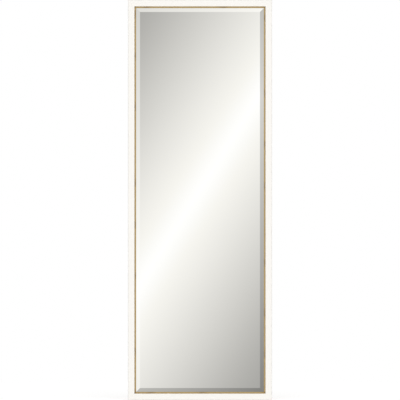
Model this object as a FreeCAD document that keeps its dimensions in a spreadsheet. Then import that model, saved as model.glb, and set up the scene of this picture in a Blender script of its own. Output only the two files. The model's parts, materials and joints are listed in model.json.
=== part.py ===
"""Tall wall mirror: a white mitred moulding and a gilt fillet round a bevelled plate, with its back hardware.

The origin is the middle of the mirror on the wall plane. +Z is up, +X is to the right and the glass faces -Y.
Sizes are in millimetres. Mouldings and fillets are drawn in a strip frame of their own: X runs along the
strip, Y from the frame's outer edge inwards, and Z from the frame's back to its front. Hangers are drawn with X
along the strap towards the ring and Z away from the wood.
"""

import FreeCAD
import Part
import Sketcher
import math
import os

SIZES = {
    # Glass that shows inside the fillet
    "sight_width": 406.4,
    "sight_height": 1219.2,
    # White moulding, in section
    "moulding_width": 20.7,
    "moulding_depth": 22.0,
    "outer_round": 3.5,
    "inner_round": 0.8,
    "lip_width": 3.25,
    "lip_depth": 7.0,
    # Gilt fillet, in section
    "fillet_show": 4.7,
    "fillet_play": 0.2,
    "fillet_tail": 3.5,
    "fillet_nose": 1.0,
    "bead_round": 4.0,
    # Silvered plate
    "glass_thickness": 4.0,
    "glass_play": 1.6,
    "bevel_width": 19.05,
    "edge_thickness": 1.8,
    "seat_play": 0.1,
    # Boards behind the plate
    "filler_thickness": 3.0,
    "board_thickness": 3.0,
    "board_play": 0.8,
    # Flat points that hold the boards
    "point_gauge": 0.5,
    "point_width": 9.0,
    "point_length": 15.0,
    "point_bite": 7.0,
    "point_tip": 4.0,
    "points_across": 3,
    "points_along": 7,
    "point_inset": 80.0,
    # V-nails in the mitres
    "nail_gauge": 0.6,
    "nail_leg": 7.0,
    "nail_depth": 10.0,
    "nail_inset": 4.5,
    "nail_spacing": 6.0,
    # Hanger straps
    "strap_width": 8.0,
    "strap_gauge": 0.8,
    "strap_end": 6.0,
    "strap_corner": 3.0,
    "screw_hole_play": 0.25,
    # Hanger rings
    "ring_wire": 2.0,
    "ring_play": 0.1,
    "ring_side_play": 0.5,
    "ring_bend": 2.0,
    "ring_reach": 12.0,
    # Hanger screws
    "screw_shank": 2.5,
    "screw_length": 13.0,
    "screw_tip": 3.5,
    "screw_head": 5.4,
    "screw_head_height": 1.7,
    "screw_head_rim": 0.6,
    "screw_near": 17.5,
    "screw_pitch": 11.5,
    # Where the hangers sit, from the edge that is uppermost when they are used
    "upright_drop": 190.0,
    "sideways_drop": 130.0,
    # Wall bumpers
    "bumper_diameter": 12.0,
    "bumper_height": 5.0,
    "bumper_round": 1.2,
    "bumper_inset": 45.0,
}

DERIVED = {
    "sight_edge": "moulding_width + fillet_show",
    "frame_width": "sight_width + 2 * sight_edge",
    "frame_height": "sight_height + 2 * sight_edge",
    "half_width": "frame_width / 2",
    "half_height": "frame_height / 2",
    "wood_width": "moulding_width - lip_width",
    "wood_middle": "wood_width / 2",
    # Mitre cuts, from the corner inwards and past the strip's end
    "mitre_cut": "sight_edge + moulding_width",
    "half_width_in": "half_width - mitre_cut",
    "half_width_out": "half_width + mitre_cut",
    "half_height_in": "half_height - mitre_cut",
    "half_height_out": "half_height + mitre_cut",
    # Levels above the frame's back, in the strip frame
    "lip_level": "moulding_depth - lip_depth",
    "fillet_level": "lip_level - fillet_tail",
    "nose_level": "fillet_level + fillet_nose",
    "bead_level": "nose_level + bead_round",
    "bead_start": "sight_edge - bead_round",
    "fillet_start": "wood_width + fillet_play",
    "outer_round_level": "moulding_depth - outer_round",
    "inner_round_level": "moulding_depth - inner_round",
    "inner_round_start": "moulding_width - inner_round",
    # The plate rests its bevel on the fillet's nose
    "half_glass_width": "half_width - wood_width - glass_play",
    "half_glass_height": "half_height - wood_width - glass_play",
    "half_flat_width": "half_glass_width - bevel_width",
    "half_flat_height": "half_glass_height - bevel_width",
    "glass_cover": "sight_edge - wood_width - glass_play",
    "bevel_fall": "glass_thickness - edge_thickness",
    "seat_height": "edge_thickness + glass_cover * bevel_fall / bevel_width",
    "glass_back": "fillet_level - seat_play - seat_height",
    "edge_level": "glass_back + edge_thickness",
    "glass_front": "glass_back + glass_thickness",
    "filler_back": "glass_back - filler_thickness",
    "board_back": "filler_back - board_thickness",
    "half_board_width": "half_width - wood_width - board_play",
    "half_board_height": "half_height - wood_width - board_play",
    # Points, with the first one of each row drawn before the middle of its strip
    "point_back": "board_back - point_gauge",
    "point_deep": "wood_width - point_bite",
    "point_shoulder": "point_deep + point_tip",
    "point_end": "point_deep + point_length",
    "row_across": "sight_width / 2 - point_inset",
    "point_pitch_across": "2 * row_across / (points_across - 1)",
    "row_across_near": "row_across - point_width / 2",
    "row_across_far": "row_across + point_width / 2",
    "row_along": "sight_height / 2 - point_inset",
    "point_pitch_along": "2 * row_along / (points_along - 1)",
    "row_along_near": "row_along - point_width / 2",
    "row_along_far": "row_along + point_width / 2",
    # V-nails, from the middle of the mirror to its top right corner
    "outer_nail_x": "half_width - nail_inset",
    "outer_nail_z": "half_height - nail_inset",
    "outer_nail_x_inside": "outer_nail_x - nail_gauge",
    "outer_nail_z_inside": "outer_nail_z - nail_gauge",
    "outer_nail_x_end": "outer_nail_x - nail_leg",
    "outer_nail_z_end": "outer_nail_z - nail_leg",
    "inner_nail_x": "outer_nail_x - nail_spacing",
    "inner_nail_z": "outer_nail_z - nail_spacing",
    "inner_nail_x_inside": "inner_nail_x - nail_gauge",
    "inner_nail_z_inside": "inner_nail_z - nail_gauge",
    "inner_nail_x_end": "inner_nail_x - nail_leg",
    "inner_nail_z_end": "inner_nail_z - nail_leg",
    # Strap: two layers on the wood, rolled round the ring's bar
    "strap_top": "2 * strap_gauge",
    "strap_tail": "screw_near + screw_pitch + strap_end",
    "loop_inner": "ring_wire / 2 + ring_play",
    "loop_outer": "loop_inner + strap_gauge",
    "pivot_level": "strap_gauge + loop_inner",
    "loop_top": "pivot_level + loop_outer",
    "neck_round": "pivot_level - strap_top",
    "neck_end": "loop_outer + neck_round",
    "strap_half": "strap_width / 2",
    "screw_hole": "screw_shank / 2 + screw_hole_play",
    "screw_far": "screw_near + screw_pitch",
    # Ring: straight bar, two bends, two sides and a half round end
    "wire_radius": "ring_wire / 2",
    "bar_half": "strap_half + ring_side_play",
    "ring_half": "bar_half + ring_bend",
    "ring_side": "ring_reach - ring_half",
    # Screw, from the wood's face
    "shank_radius": "screw_shank / 2",
    "head_radius": "screw_head / 2",
    "rim_level": "strap_top + screw_head_rim",
    "head_level": "strap_top + screw_head_height",
    "dome_rise": "head_level - rim_level",
    "dome_radius": "(head_radius * head_radius + dome_rise * dome_rise) / (2 * dome_rise)",
    "bite_level": "screw_length - strap_top",
    "tip_level": "bite_level - screw_tip",
    # Bumper
    "bumper_radius": "bumper_diameter / 2",
    "bumper_flat": "bumper_radius - bumper_round",
    "bumper_rim": "bumper_height - bumper_round",
    # Stations on the back
    "stile_line": "half_width - wood_middle",
    "rail_line": "half_height - wood_middle",
    "upright_station": "half_height - upright_drop",
    "sideways_station": "half_width - sideways_drop",
    "bumper_station": "half_height - bumper_inset",
}

UP = FreeCAD.Vector(0, 0, 1)
RIGHT = FreeCAD.Vector(1, 0, 0)
TO_WALL = FreeCAD.Vector(0, 1, 0)

doc = FreeCAD.newDocument("wall_mirror")


def make_sheet():
    """Write the sizes, then the values worked out from them, to a spreadsheet with aliases."""
    sheet = doc.addObject("Spreadsheet::Sheet", "Sizes")
    row = 0
    for alias, content in {**SIZES, **DERIVED}.items():
        row += 1
        sheet.set(f"A{row}", alias)
        sheet.set(f"B{row}", f"={content}" if alias in DERIVED else str(content))
        sheet.setAlias(f"B{row}", alias)
    doc.recompute()
    return sheet


SHEET = make_sheet()


def value(cell):
    """Present number of a cell given by its alias, or by its alias after a minus sign, or 0."""
    if cell == 0:
        return 0.0
    if cell.startswith("-"):
        return -float(getattr(SHEET, cell[1:]))
    return float(getattr(SHEET, cell))


def bind(thing, name, cell):
    """Bind a property of an object to a cell, and leave it alone where the cell is 0."""
    if cell == 0:
        return
    thing.setExpression(name, f"-Sizes.{cell[1:]}" if cell.startswith("-") else f"Sizes.{cell}")


def new_body(name, at=(0, 0, 0), turn=None):
    """Body with its Placement bound to three cells, and with an optional rotation."""
    body = doc.addObject("PartDesign::Body", name)
    body.Label = name
    body.AllowCompound = True
    body.Placement = FreeCAD.Placement(FreeCAD.Vector(), turn or FreeCAD.Rotation())
    for axis, cell in zip("xyz", at):
        bind(body, f"Placement.Base.{axis}", cell)
    return body


def origin_item(body, role):
    """Plane or axis of a body's own origin."""
    return next(item for item in body.Origin.OriginFeatures if item.Role == role)


def new_sketch(body, name, plane, level=0):
    """Sketch on one of the body's origin planes, lifted along the plane's normal by a cell."""
    sketch = body.newObject("Sketcher::SketchObject", name)
    sketch.AttachmentSupport = [(origin_item(body, plane), "")]
    sketch.MapMode = "FlatFace"
    bind(sketch, "AttachmentOffset.Base.z", level)
    return sketch


def pin_vertex(sketch, geometry, end, corner):
    """Hold one end of a sketch element at a corner given as two cells."""
    for kind, axis, cell in (("DistanceX", -2, corner[0]), ("DistanceY", -1, corner[1])):
        if cell == 0:
            sketch.addConstraint(Sketcher.Constraint("PointOnObject", geometry, end, axis))
            continue
        ends = (geometry, end, -1, 1) if cell.startswith("-") else (-1, 1, geometry, end)
        index = sketch.addConstraint(Sketcher.Constraint(kind, *ends, abs(value(cell))))
        name = f"{kind.lower()}_{index}"
        sketch.renameConstraint(index, name)
        sketch.setExpression(f"Constraints.{name}", f"Sizes.{cell.lstrip('-')}")


def hold_radius(sketch, geometry, cell):
    """Bind the radius of an arc or circle to a cell."""
    index = sketch.addConstraint(Sketcher.Constraint("Radius", geometry, value(cell)))
    name = f"radius_{index}"
    sketch.renameConstraint(index, name)
    sketch.setExpression(f"Constraints.{name}", f"Sizes.{cell}")


def draw_outline(sketch, corners):
    """Closed outline through corners.

    A corner is (x, y) for a straight run to the next corner, or (x, y, radius, bulge) for an arc to it,
    counterclockwise about its centre where bulge is 1 and clockwise where it is -1.
    """
    count = len(corners)
    first = sketch.GeometryCount
    points = [FreeCAD.Vector(value(corner[0]), value(corner[1]), 0) for corner in corners]
    for index, corner in enumerate(corners):
        start = points[index]
        end = points[(index + 1) % count]
        if len(corner) == 2:
            sketch.addGeometry(Part.LineSegment(start, end))
            continue
        chord = end - start
        radius = value(corner[2])
        rise = math.sqrt(max(radius ** 2 - (chord.Length / 2) ** 2, 0.0))
        left = FreeCAD.Vector(-chord.y, chord.x, 0).normalize()
        centre = (start + end) * 0.5 + left * rise * corner[3]
        circle = Part.Circle(centre, FreeCAD.Vector(0, 0, 1), radius)
        first_end, last_end = (start, end) if corner[3] > 0 else (end, start)
        sketch.addGeometry(Part.ArcOfCircle(circle, circle.parameter(first_end), circle.parameter(last_end)))
    for index, corner in enumerate(corners):
        here = first + index
        # An arc runs counterclockwise, so one that bulges the other way starts at its second end
        starts = 2 if len(corner) > 2 and corner[3] < 0 else 1
        before = corners[index - 1]
        ends = 1 if len(before) > 2 and before[3] < 0 else 2
        previous = first + (index - 1) % count
        sketch.addConstraint(Sketcher.Constraint("Coincident", previous, ends, here, starts))
        pin_vertex(sketch, here, starts, corner)
        if len(corner) > 2:
            hold_radius(sketch, here, corner[2])


def draw_circle(sketch, centre, radius):
    """Circle with its centre at two cells."""
    middle = FreeCAD.Vector(value(centre[0]), value(centre[1]), 0)
    index = sketch.addGeometry(Part.Circle(middle, FreeCAD.Vector(0, 0, 1), value(radius)))
    pin_vertex(sketch, index, 3, centre)
    hold_radius(sketch, index, radius)


def pad(body, name, sketch, length, both_ways=False):
    """Pad a sketch along its normal, or evenly to both sides of it."""
    feature = body.newObject("PartDesign::Pad", name)
    feature.Profile = sketch
    if both_ways:
        feature.SideType = "Symmetric"
    bind(feature, "Length", length)
    doc.recompute()
    return feature


def cut_through(body, name, sketch):
    """Pocket a sketch through the whole body, both ways, and make sure that it removes wood or metal."""
    before = body.Shape.Volume
    feature = body.newObject("PartDesign::Pocket", name)
    feature.Profile = sketch
    feature.Type = "ThroughAll"
    feature.SideType = "Symmetric"
    doc.recompute()
    if feature.Shape.Volume >= before:
        raise RuntimeError(f"{body.Label}: {name} cuts nothing")
    return feature


def turn_profile(body, name, sketch):
    """Full turn of a sketch about its own vertical axis."""
    feature = body.newObject("PartDesign::Revolution", name)
    feature.Profile = sketch
    feature.ReferenceAxis = (sketch, ["V_Axis"])
    feature.Angle = 360
    doc.recompute()
    return feature


def repeat_along(body, name, feature, axis, length, occurrences, backwards=False):
    """Straight row of copies of a feature along an origin axis."""
    row = body.newObject("PartDesign::LinearPattern", name)
    row.Originals = [feature]
    row.Direction = (origin_item(body, axis), [""])
    row.Reversed = backwards
    row.Mode = "Spacing"
    bind(row, "Offset", length)
    if isinstance(occurrences, str):
        bind(row, "Occurrences", occurrences)
    else:
        row.Occurrences = occurrences
    body.Tip = row
    doc.recompute()
    return row


def strip_turn(angle):
    """Rotation from the strip frame to a side of the mirror: 0 is the bottom, 90 the left, 180 the top."""
    return FreeCAD.Rotation(TO_WALL, angle).multiply(FreeCAD.Rotation(RIGHT, 90))


def signed(sign, cell):
    """Cell with a minus sign before it where sign is negative."""
    return cell if sign > 0 else f"-{cell}"


def rectangle(half_width, half_height):
    """Corners of a rectangle centred on the sketch's origin."""
    return [
        (signed(x_sign, half_width), signed(z_sign, half_height))
        for x_sign, z_sign in ((-1, -1), (1, -1), (1, 1), (-1, 1))
    ]


MOULDING_SECTION = [
    (0, 0),
    ("wood_width", 0),
    ("wood_width", "lip_level"),
    ("moulding_width", "lip_level"),
    ("moulding_width", "inner_round_level", "inner_round", 1),
    ("inner_round_start", "moulding_depth"),
    ("outer_round", "moulding_depth", "outer_round", 1),
    (0, "outer_round_level"),
]

FILLET_SECTION = [
    ("fillet_start", "fillet_level"),
    ("sight_edge", "fillet_level"),
    ("sight_edge", "nose_level", "bead_round", 1),
    ("bead_start", "bead_level"),
    ("moulding_width", "bead_level"),
    ("moulding_width", "lip_level"),
    ("fillet_start", "lip_level"),
]

# Each side of the frame: the strip's turn, the middle of its outer edge, its lengths and its row of points
SIDES = {
    "bottom": (0, (0, "-bumper_height", "-half_height"), "width", "across"),
    "left": (90, ("-half_width", "-bumper_height", 0), "height", "along"),
    "top": (180, (0, "-bumper_height", "half_height"), "width", "across"),
    "right": (270, ("half_width", "-bumper_height", 0), "height", "along"),
}

FRAME_NAMES = {
    "bottom": "frame_rail_bottom",
    "left": "frame_stile_left",
    "top": "frame_rail_top",
    "right": "frame_stile_right",
}

UPRIGHT = FreeCAD.Rotation(UP, RIGHT, TO_WALL, "XYZ")
SIDEWAYS = FreeCAD.Rotation(-RIGHT, UP, TO_WALL, "XYZ")

# Each hanger: the side that carries it, where its ring turns, and which way its strap lies
HANGERS = {
    "left": ("left", ("-stile_line", "-bumper_height", "upright_station"), UPRIGHT),
    "right": ("right", ("stile_line", "-bumper_height", "upright_station"), UPRIGHT),
    "top": ("top", ("-sideways_station", "-bumper_height", "rail_line"), SIDEWAYS),
    "bottom": ("bottom", ("-sideways_station", "-bumper_height", "-rail_line"), SIDEWAYS),
}


def make_strip(name, side, section):
    """Length of moulding or fillet: its section drawn out along the side and mitred at both ends."""
    angle, place, size, _ = SIDES[side]
    body = new_body(name, place, strip_turn(angle))
    profile = new_sketch(body, f"{name}_section", "YZ_Plane")
    draw_outline(profile, section)
    pad(body, f"{name}_length", profile, f"frame_{size}", both_ways=True)
    mitres = new_sketch(body, f"{name}_mitres", "XY_Plane")
    for sign in (-1, 1):
        draw_outline(mitres, [
            (signed(sign, f"half_{size}"), 0),
            (signed(sign, f"half_{size}_out"), 0),
            (signed(sign, f"half_{size}_out"), "mitre_cut"),
            (signed(sign, f"half_{size}_in"), "mitre_cut"),
        ])
    cut_through(body, f"{name}_mitre_cuts", mitres)
    return body


def make_points(side):
    """Row of flat points, driven into the rabbet wall so that they lie on the backing board."""
    name = f"points_{side}"
    angle, place, _, row = SIDES[side]
    body = new_body(name, place, strip_turn(angle))
    blade = new_sketch(body, f"{name}_blade", "XY_Plane", "point_back")
    draw_outline(blade, [
        (f"-row_{row}", "point_deep"),
        (f"-row_{row}_near", "point_shoulder"),
        (f"-row_{row}_near", "point_end"),
        (f"-row_{row}_far", "point_end"),
        (f"-row_{row}_far", "point_shoulder"),
    ])
    first = pad(body, f"{name}_first", blade, "point_gauge")
    repeat_along(body, f"{name}_row", first, "X_Axis", f"point_pitch_{row}", f"points_{row}")
    return body


def make_plate(name, half_width, half_height, level, thickness):
    """Flat board or plate parallel to the wall, from one level above the frame's back."""
    body = new_body(name, (0, "-bumper_height", 0))
    outline = new_sketch(body, f"{name}_outline", "XZ_Plane", level)
    draw_outline(outline, rectangle(half_width, half_height))
    pad(body, f"{name}_sheet", outline, thickness)
    return body


def make_glass():
    """Plate whose edge is ground thin, and whose front slopes up over the bevel to the flat."""
    body = make_plate("mirror_glass", "half_glass_width", "half_glass_height", "glass_back", "edge_thickness")
    foot = new_sketch(body, "bevel_foot", "XZ_Plane", "edge_level")
    draw_outline(foot, rectangle("half_glass_width", "half_glass_height"))
    crest = new_sketch(body, "bevel_crest", "XZ_Plane", "glass_front")
    draw_outline(crest, rectangle("half_flat_width", "half_flat_height"))
    bevel = body.newObject("PartDesign::AdditiveLoft", "bevel")
    bevel.Profile = foot
    bevel.Sections = [crest]
    bevel.Ruled = True
    doc.recompute()
    return body


def make_nails():
    """V-nails across the mitres, two at each corner, flush with the frame's back."""
    body = new_body("corner_v_nails", (0, "-bumper_height", 0))
    legs = new_sketch(body, "nail_legs", "XZ_Plane")
    for x_sign in (-1, 1):
        for z_sign in (-1, 1):
            for nail in ("outer_nail", "inner_nail"):
                draw_outline(legs, [
                    (signed(x_sign, f"{nail}_x"), signed(z_sign, f"{nail}_z")),
                    (signed(x_sign, f"{nail}_x_end"), signed(z_sign, f"{nail}_z")),
                    (signed(x_sign, f"{nail}_x_end"), signed(z_sign, f"{nail}_z_inside")),
                    (signed(x_sign, f"{nail}_x_inside"), signed(z_sign, f"{nail}_z_inside")),
                    (signed(x_sign, f"{nail}_x_inside"), signed(z_sign, f"{nail}_z_end")),
                    (signed(x_sign, f"{nail}_x"), signed(z_sign, f"{nail}_z_end")),
                ])
    pad(body, "nail_drive", legs, "nail_depth")
    return body


def make_strap(station, place, turn):
    """Strap folded double on the wood, with the fold rolled round the ring's bar and two screw holes."""
    name = f"hanger_strap_{station}"
    body = new_body(name, place, turn)
    fold = new_sketch(body, f"{name}_fold", "XZ_Plane")
    draw_outline(fold, [
        ("-strap_tail", 0),
        (0, 0, "loop_outer", 1),
        ("loop_outer", "pivot_level", "loop_outer", 1),
        (0, "loop_top", "loop_outer", 1),
        ("-loop_outer", "pivot_level", "neck_round", -1),
        ("-neck_end", "strap_top"),
        ("-strap_tail", "strap_top"),
    ])
    draw_circle(fold, (0, "pivot_level"), "loop_inner")
    strip = pad(body, f"{name}_strip", fold, "strap_width", both_ways=True)
    tail = [
        f"Edge{index + 1}"
        for index, edge in enumerate(strip.Shape.Edges)
        if all(abs(abs(end.X) - value("strap_tail")) < 1e-6 for end in edge.Vertexes)
        and abs(edge.Vertexes[0].Y - edge.Vertexes[-1].Y) < 1e-6
    ]
    corners = body.newObject("PartDesign::Fillet", f"{name}_corners")
    corners.Base = (strip, tail)
    bind(corners, "Radius", "strap_corner")
    doc.recompute()
    holes = new_sketch(body, f"{name}_holes", "XY_Plane")
    draw_circle(holes, ("-screw_near", 0), "screw_hole")
    draw_circle(holes, ("-screw_far", 0), "screw_hole")
    cut_through(body, f"{name}_hole_cuts", holes)
    return body


def make_ring(station, place, turn):
    """D-ring of round wire: a straight bar in the strap's fold, two bends, two sides and a half round end."""
    name = f"hanger_ring_{station}"
    body = new_body(name, place, turn)
    path = new_sketch(body, f"{name}_path", "XY_Plane", "pivot_level")
    draw_outline(path, [
        (0, 0),
        (0, "bar_half", "ring_bend", -1),
        ("ring_bend", "ring_half"),
        ("ring_side", "ring_half", "ring_half", -1),
        ("ring_reach", 0, "ring_half", -1),
        ("ring_side", "-ring_half"),
        ("ring_bend", "-ring_half", "ring_bend", -1),
        (0, "-bar_half"),
    ])
    wire = new_sketch(body, f"{name}_wire", "XZ_Plane")
    draw_circle(wire, (0, "pivot_level"), "wire_radius")
    bent = body.newObject("PartDesign::AdditivePipe", f"{name}_bent")
    bent.Profile = wire
    bent.Spine = (path, [])
    doc.recompute()
    return body


def make_screws(station, place, turn):
    """Two pan head screws through the strap into the wood."""
    name = f"hanger_screws_{station}"
    body = new_body(name, place, turn)
    half = new_sketch(body, f"{name}_half", "XZ_Plane")
    bind(half, "AttachmentOffset.Base.x", "-screw_near")
    draw_outline(half, [
        (0, "-bite_level"),
        ("shank_radius", "-tip_level"),
        ("shank_radius", "strap_top"),
        ("head_radius", "strap_top"),
        ("head_radius", "rim_level", "dome_radius", 1),
        (0, "head_level"),
    ])
    first = turn_profile(body, f"{name}_first", half)
    repeat_along(body, f"{name}_pair", first, "X_Axis", "screw_pitch", 2, backwards=True)
    return body


def make_bumper(corner, x_cell, z_cell):
    """Soft disc with a rounded rim, stuck to the frame's back, whose flat face meets the wall."""
    name = f"bumper_{corner}"
    body = new_body(name, (x_cell, "-bumper_height", z_cell), UPRIGHT)
    half = new_sketch(body, f"{name}_half", "XZ_Plane")
    draw_outline(half, [
        (0, 0),
        ("bumper_radius", 0),
        ("bumper_radius", "bumper_rim", "bumper_round", 1),
        ("bumper_flat", "bumper_height"),
        (0, "bumper_height"),
    ])
    turn_profile(body, f"{name}_disc", half)
    return body


def make_frame_piece(side, blank, driven):
    """Moulding with seats cut for everything that is driven or screwed into it."""
    hardware = doc.addObject("Part::Compound", f"driven_{side}")
    hardware.Links = driven
    piece = doc.addObject("Part::Cut", FRAME_NAMES[side])
    piece.Label = FRAME_NAMES[side]
    piece.Base = blank
    piece.Tool = hardware
    doc.recompute()
    return piece


def export(nodes):
    """Stop on any failed object or bad shape, then write one STEP file for each node."""
    for item in doc.Objects:
        if "Invalid" in item.State or "Error" in item.State:
            raise RuntimeError(f"{item.Label} failed: {item.State}")
    for node in nodes:
        if node.Shape.isNull() or not node.Shape.isValid():
            raise RuntimeError(f"{node.Label} has no valid shape")
    os.makedirs("parts", exist_ok=True)
    for node in nodes:
        node.Shape.exportStep(f"parts/{node.Label}.step")
        print(node.Label, len(node.Shape.Solids), "solids", round(node.Shape.Volume, 2), "mm3")


def main():
    """Build every piece, seat the hardware in the frame and write the files."""
    points = {side: make_points(side) for side in SIDES}
    nails = make_nails()
    screws = {}
    nodes = []
    driven = {side: [points[side], nails] for side in SIDES}
    for station, (side, place, turn) in HANGERS.items():
        screws[station] = make_screws(station, place, turn)
        driven[side].append(screws[station])
        nodes += [make_strap(station, place, turn), make_ring(station, place, turn), screws[station]]
    for side in SIDES:
        blank = make_strip(f"moulding_{side}", side, MOULDING_SECTION)
        nodes.append(make_frame_piece(side, blank, driven[side]))
        nodes.append(make_strip(f"gilt_fillet_{side}", side, FILLET_SECTION))
    nodes.append(make_glass())
    nodes.append(make_plate("filler_pad", "half_board_width", "half_board_height", "filler_back",
                            "filler_thickness"))
    nodes.append(make_plate("backing_board", "half_board_width", "half_board_height", "board_back",
                            "board_thickness"))
    nodes += [*points.values(), nails]
    for x_name, x_sign in (("left", -1), ("right", 1)):
        for z_name, z_sign in (("bottom", -1), ("top", 1)):
            nodes.append(make_bumper(f"{z_name}_{x_name}", signed(x_sign, "stile_line"),
                                     signed(z_sign, "bumper_station")))
    export(nodes)


main()
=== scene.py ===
"""Studio scene of a tall framed wall mirror.

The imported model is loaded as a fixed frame. Each sub-assembly is a class that takes its place from that
frame, models its pieces with bmesh operators and dresses them in procedural finishes. Lengths are in metres,
the glass faces -Y and +Z is up.
"""

import json
import logging
import math
from dataclasses import dataclass
from enum import Enum
from functools import cached_property
from typing import Optional, Sequence, Union

import bmesh
import bpy
from bmesh.types import BMEdge, BMesh, BMFace, BMVert
from bpy.types import ColorRamp, Material, NodeSocket, NodeTree, Object
from mathutils import Matrix, Vector


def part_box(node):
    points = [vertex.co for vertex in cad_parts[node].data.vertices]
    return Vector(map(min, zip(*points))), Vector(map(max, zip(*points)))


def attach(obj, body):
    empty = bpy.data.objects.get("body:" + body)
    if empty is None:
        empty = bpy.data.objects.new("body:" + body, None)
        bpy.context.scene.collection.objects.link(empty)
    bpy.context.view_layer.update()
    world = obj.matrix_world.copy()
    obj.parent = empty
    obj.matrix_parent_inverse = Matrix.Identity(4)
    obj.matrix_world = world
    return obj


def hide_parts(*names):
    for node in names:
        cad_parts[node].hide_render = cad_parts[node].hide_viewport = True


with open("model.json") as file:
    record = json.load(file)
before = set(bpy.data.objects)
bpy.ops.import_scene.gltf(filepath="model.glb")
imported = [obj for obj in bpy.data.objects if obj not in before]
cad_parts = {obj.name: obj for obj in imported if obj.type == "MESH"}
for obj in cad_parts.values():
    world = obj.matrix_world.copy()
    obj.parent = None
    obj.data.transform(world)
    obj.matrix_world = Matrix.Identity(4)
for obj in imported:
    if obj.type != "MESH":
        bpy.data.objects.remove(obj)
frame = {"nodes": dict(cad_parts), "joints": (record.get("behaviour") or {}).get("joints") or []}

LOG = logging.getLogger("wall_mirror")
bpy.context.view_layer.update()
BODY = "mirror"
MM = 0.001
SAME_PLACE = 0.01 * MM
SAME_POINT = 0.001 * MM
QUARTER = math.pi / 2

Colour = tuple[float, float, float]
Spot = tuple[float, float, float]
Span = tuple[float, float]
Rounding = tuple[float, int]
Given = Union["Socket", float, Sequence[float]]

PURE_WHITE: Colour = (1.0, 1.0, 1.0)


class Axis(Enum):
    """Axis that a strip's grain runs along, by its place in a coordinate."""

    SIDEWAYS = 0
    UPRIGHT = 2


class Side(Enum):
    """Side of the mirror, with its quarter turns from the bottom side."""

    BOTTOM = 0
    LEFT = 1
    TOP = 2
    RIGHT = 3

    @property
    def label(self) -> str:
        """Name of the side as the nodes' names give it."""
        return self.name.lower()

    @property
    def axis(self) -> Axis:
        """Axis that the side's strips run along."""
        return Axis.UPRIGHT if self in (Side.LEFT, Side.RIGHT) else Axis.SIDEWAYS


class Steel(Enum):
    """Steel of the fittings, with its bright tone, its dull tone and its roughness."""

    POINT = ((0.300, 0.300, 0.310), (0.200, 0.200, 0.212), 0.30)
    NAIL = ((0.420, 0.420, 0.430), (0.300, 0.300, 0.310), 0.35)
    STRAP = ((0.700, 0.700, 0.690), (0.560, 0.560, 0.555), 0.24)
    RING = ((0.740, 0.740, 0.735), (0.620, 0.620, 0.615), 0.18)
    SCREW = ((0.690, 0.680, 0.640), (0.560, 0.550, 0.515), 0.26)

    @property
    def slot(self) -> str:
        """The record's slot of this steel."""
        return f"{self.name.lower()}_steel"


@dataclass(frozen=True)
class Grain:
    """Noise of a finish: cells per metre, layers and their weight, scale along a strip, and curl."""

    cells: float
    layers: float = 2.0
    weight: float = 0.5
    drawn: float = 1.0
    curl: float = 0.0


class Socket:
    """Output of a node that takes part in Python arithmetic, where each step adds a Math node."""

    def __init__(self, sheet: "NodeSheet", output: NodeSocket) -> None:
        """Keeps the sheet and the output."""
        self.sheet = sheet
        self.output = output

    def sibling(self, key: Union[int, str]) -> "Socket":
        """Another output of the same node."""
        return Socket(self.sheet, self.output.node.outputs[key])

    def __add__(self, other: Given) -> "Socket":
        """Sum."""
        return self.sheet.maths("ADD", self, other)

    def __radd__(self, other: Given) -> "Socket":
        """Sum, with a number first."""
        return self.sheet.maths("ADD", other, self)

    def __sub__(self, other: Given) -> "Socket":
        """Difference."""
        return self.sheet.maths("SUBTRACT", self, other)

    def __rsub__(self, other: Given) -> "Socket":
        """Difference, with a number first."""
        return self.sheet.maths("SUBTRACT", other, self)

    def __mul__(self, other: Given) -> "Socket":
        """Product."""
        return self.sheet.maths("MULTIPLY", self, other)

    def __rmul__(self, other: Given) -> "Socket":
        """Product, with a number first."""
        return self.sheet.maths("MULTIPLY", other, self)

    def __truediv__(self, other: Given) -> "Socket":
        """Quotient."""
        return self.sheet.maths("DIVIDE", self, other)

    def __rtruediv__(self, other: Given) -> "Socket":
        """Quotient, with a number first."""
        return self.sheet.maths("DIVIDE", other, self)

    def __abs__(self) -> "Socket":
        """Size without sign."""
        return self.sheet.maths("ABSOLUTE", self)


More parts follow.
